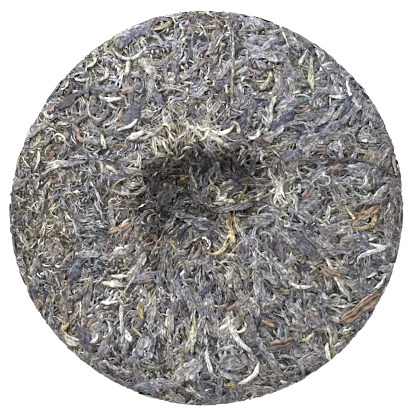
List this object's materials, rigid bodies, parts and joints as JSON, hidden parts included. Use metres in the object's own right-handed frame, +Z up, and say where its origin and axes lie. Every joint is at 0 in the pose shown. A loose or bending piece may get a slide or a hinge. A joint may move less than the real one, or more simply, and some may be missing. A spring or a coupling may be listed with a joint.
{
  "type": "pu erh tea cake",
  "caption": "Round flat cake of pressed whole tea leaves, its back up, with the oval hollow that the knot of the pressing bag left a little off the middle.",
  "frame": {"origin": "on the surface that the cake lies on, under the middle of its outline", "axes": "+Z up through the back of the cake, +Y towards the side that the hollow lies nearer to, +X to the right of that as seen from above"},
  "size_m": [0.1996, 0.2006, 0.0269],
  "materials": {
    "pressed_tea": "matt dark grey-brown mass of small broken tea leaf",
    "dark_leaf": "dry twisted leaf, near black with slate and violet tints, faint waxy sheen",
    "grey_leaf": "dry rolled leaf, dusty silver grey, matt",
    "olive_leaf": "dry rolled leaf, grey-green to olive, matt",
    "pale_bud": "downy silver-white tea bud, soft and matt",
    "golden_leaf": "yellow-brown leaf and bud, satin",
    "russet_leaf": "red-brown oxidised leaf, satin",
    "tea_stem": "thin dry stem with fine lengthwise ribs, satin",
    "broken_leaf": "small broken leaf between the whole leaves, matt, mixed greys and browns"
  },
  "bodies": {
    "root": {"tea_cake": "pressed_tea"}
  },
  "joints": []
}
